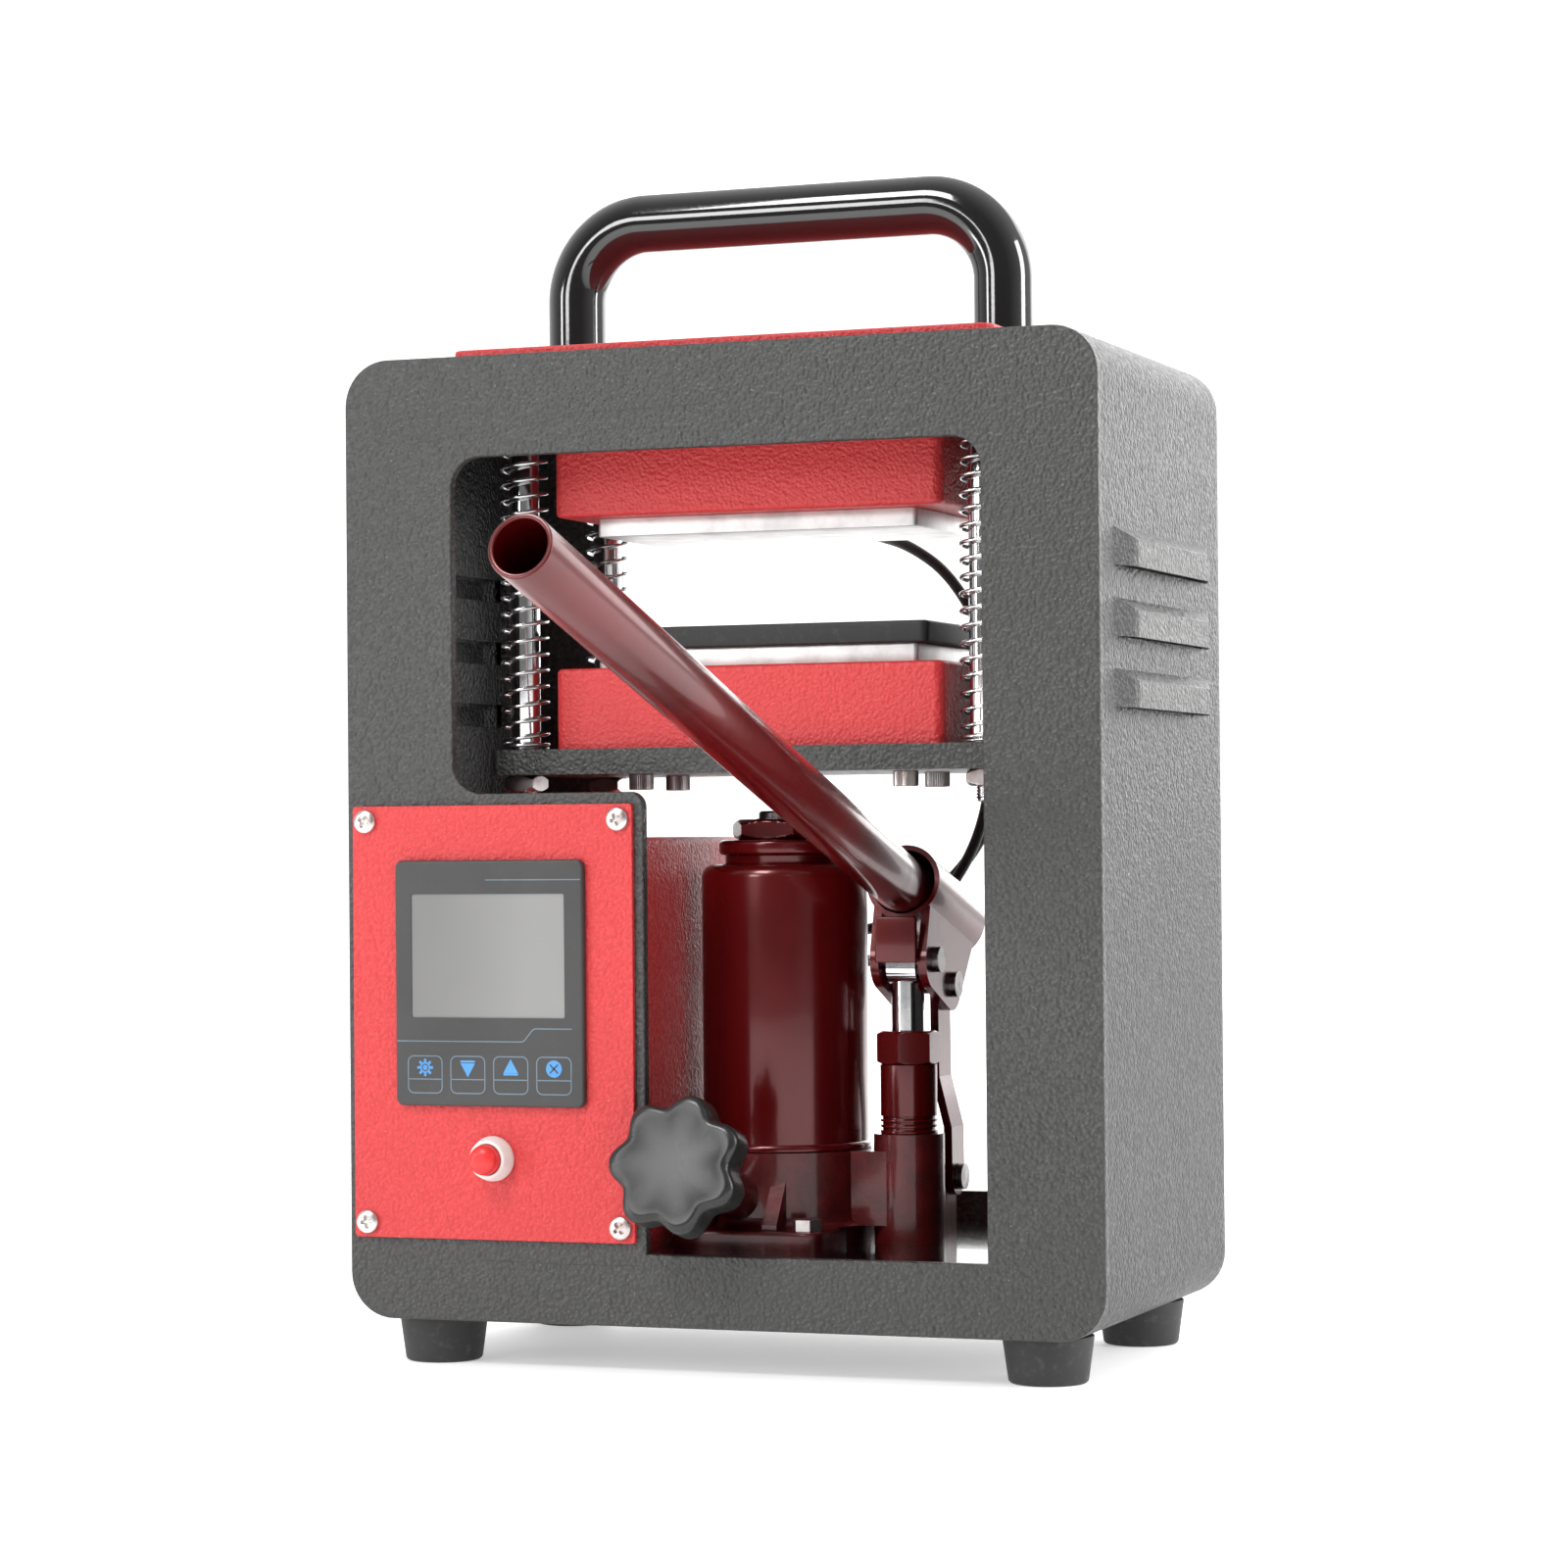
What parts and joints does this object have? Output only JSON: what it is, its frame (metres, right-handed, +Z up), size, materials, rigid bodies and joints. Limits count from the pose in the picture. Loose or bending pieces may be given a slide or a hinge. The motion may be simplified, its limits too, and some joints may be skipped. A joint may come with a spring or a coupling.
{
  "type": "tabletop hydraulic heat press",
  "caption": "Boxed steel press: a bottle jack with a long pump handle lifts a heated platen against a fixed one; side controller, star release knob and carry handle.",
  "frame": {"origin": "bottom centre of the whole object's box, on the plane the feet stand on", "axes": "+X to the right seen from the front, +Y to the back, +Z up; the pump handle points towards -Y"},
  "size_m": [0.319, 0.4674, 0.4675],
  "materials": {
    "casing_black": "leather-grain powder coat",
    "floor_gloss": "gloss black enamel",
    "red_coat": "leather-grain red powder coat",
    "grip_gloss": "gloss black enamel",
    "rubber": "moulded black rubber",
    "zinc": "zinc plated",
    "rod_chrome": "hard chrome",
    "spring_steel": "polished spring wire",
    "aluminium": "milled",
    "insulation": "pressed fibre board",
    "mica": "mica sheet",
    "silicone": "black silicone sponge",
    "controller_grey": "fine matte",
    "screen": "flat display window",
    "button_white": "moulded",
    "button_red": "moulded",
    "electric_black": "moulded",
    "relay_grey": "moulded",
    "jack_cast": "metallic maroon over a sand casting",
    "jack_maroon": "metallic maroon lacquer",
    "bare_steel": "ground steel",
    "knob_black": "satin phenolic",
    "lead_black": "heat-resistant sleeve"
  },
  "bodies": {
    "frame": {"front_plate": "casing_black", "body_shell": "casing_black", "back_plate": "casing_black", "floor_plate": "floor_gloss", "head_plate": "casing_black", "top_cover_plate": "red_coat", "carry_handle": "grip_gloss", "handle_screws": "zinc", "rubber_feet": "rubber", "foot_screws": "zinc", "guide_rods": "rod_chrome", "rod_nuts": "zinc", "return_springs": "spring_steel", "upper_platen_cover": "red_coat", "upper_insulation": "insulation", "upper_element": "mica", "upper_heat_plate": "aluminium", "upper_platen_screws": "zinc", "control_panel": "red_coat", "panel_screws": "zinc", "controller_case": "electric_black", "controller_bezel": "controller_grey", "controller_screen": "screen", "button_body": "button_white", "button_nut": "electric_black", "control_box_cover": "red_coat", "solid_state_relays": "relay_grey", "lead_grommets": "rubber", "power_inlet": "electric_black", "switch_holder": "electric_black", "jack_base": "jack_cast", "base_bolts": "zinc", "reservoir_tube": "jack_maroon", "jack_cylinder": "bare_steel", "jack_cap_nut": "jack_maroon", "oil_plug": "rubber", "pump_body": "jack_maroon", "link_base_pin": "bare_steel", "upper_lead": "lead_black", "upper_lead_gland": "rubber", "lower_lead": "lead_black"},
    "lift": {"lift_plate": "casing_black", "lower_platen_cover": "red_coat", "lower_insulation": "insulation", "lower_element": "mica", "lower_heat_plate": "aluminium", "silicone_pad": "silicone", "lower_platen_screws": "zinc", "lower_lead_gland": "rubber"},
    "ram": {"ram": "bare_steel", "ram_saddle": "bare_steel"},
    "links": {"link_bars": "jack_maroon"},
    "socket": {"handle_socket": "jack_maroon", "socket_pins": "bare_steel"},
    "plunger": {"pump_plunger": "rod_chrome"},
    "handle": {"handle_tube": "jack_maroon"},
    "valve": {"valve_stem": "bare_steel", "star_knob": "knob_black"},
    "button": {"button_cap": "button_red"},
    "rocker": {"power_rocker": "electric_black"}
  },
  "joints": [
    {"name": "press_lift", "type": "slide", "parent": "frame", "child": "lift", "axis": [0, 0, 1], "range_m": [0, 0.0363], "stiffness_N_per_m": 1200, "springref_m": -0.02, "deforming": ["return_springs", "lower_lead"]},
    {"name": "ram_extend", "type": "slide", "parent": "frame", "child": "ram", "axis": [0, 0, 1], "range_m": [0, 0.052]},
    {"name": "link_rock", "type": "hinge", "parent": "frame", "child": "links", "pos_m": [0.052, 0.16051, 0.07], "axis": [-1, 0, 0], "range_deg": [-2, 3.5]},
    {"name": "socket_swing", "type": "hinge", "parent": "links", "child": "socket", "pos_m": [0.052, 0.15851, 0.1465], "axis": [-1, 0, 0], "range_deg": [-30, 8]},
    {"name": "plunger_stroke", "type": "slide", "parent": "frame", "child": "plunger", "axis": [0, 0, 1], "range_m": [-0.012, 0.0035]},
    {"name": "handle_pull", "type": "slide", "parent": "socket", "child": "handle", "axis": [0, -0.9563, 0.2924], "range_m": [0, 0.045]},
    {"name": "valve_turn", "type": "hinge", "parent": "frame", "child": "valve", "pos_m": [-0.008, 0.03902, 0.0826], "axis": [0, -0.9659, 0.2588], "range_deg": [0, 360]},
    {"name": "button_press", "type": "slide", "parent": "frame", "child": "button", "axis": [0, 1, 0], "range_m": [0, 0.003], "stiffness_N_per_m": 400, "springref_m": -0.002},
    {"name": "rocker_tilt", "type": "hinge", "parent": "frame", "child": "rocker", "pos_m": [-0.05, 0.22801, 0.096], "axis": [-1, 0, 0], "range_deg": [0, 20]}
  ],
  "couplings": [
    {"joint": "ram_extend", "follows": "press_lift", "ratio": 1.405},
    {"joint": "link_rock", "follows": "socket_swing", "ratio": -0.0787},
    {"joint": "plunger_stroke", "follows": "socket_swing", "m_per_rad": 0.02036}
  ]
}
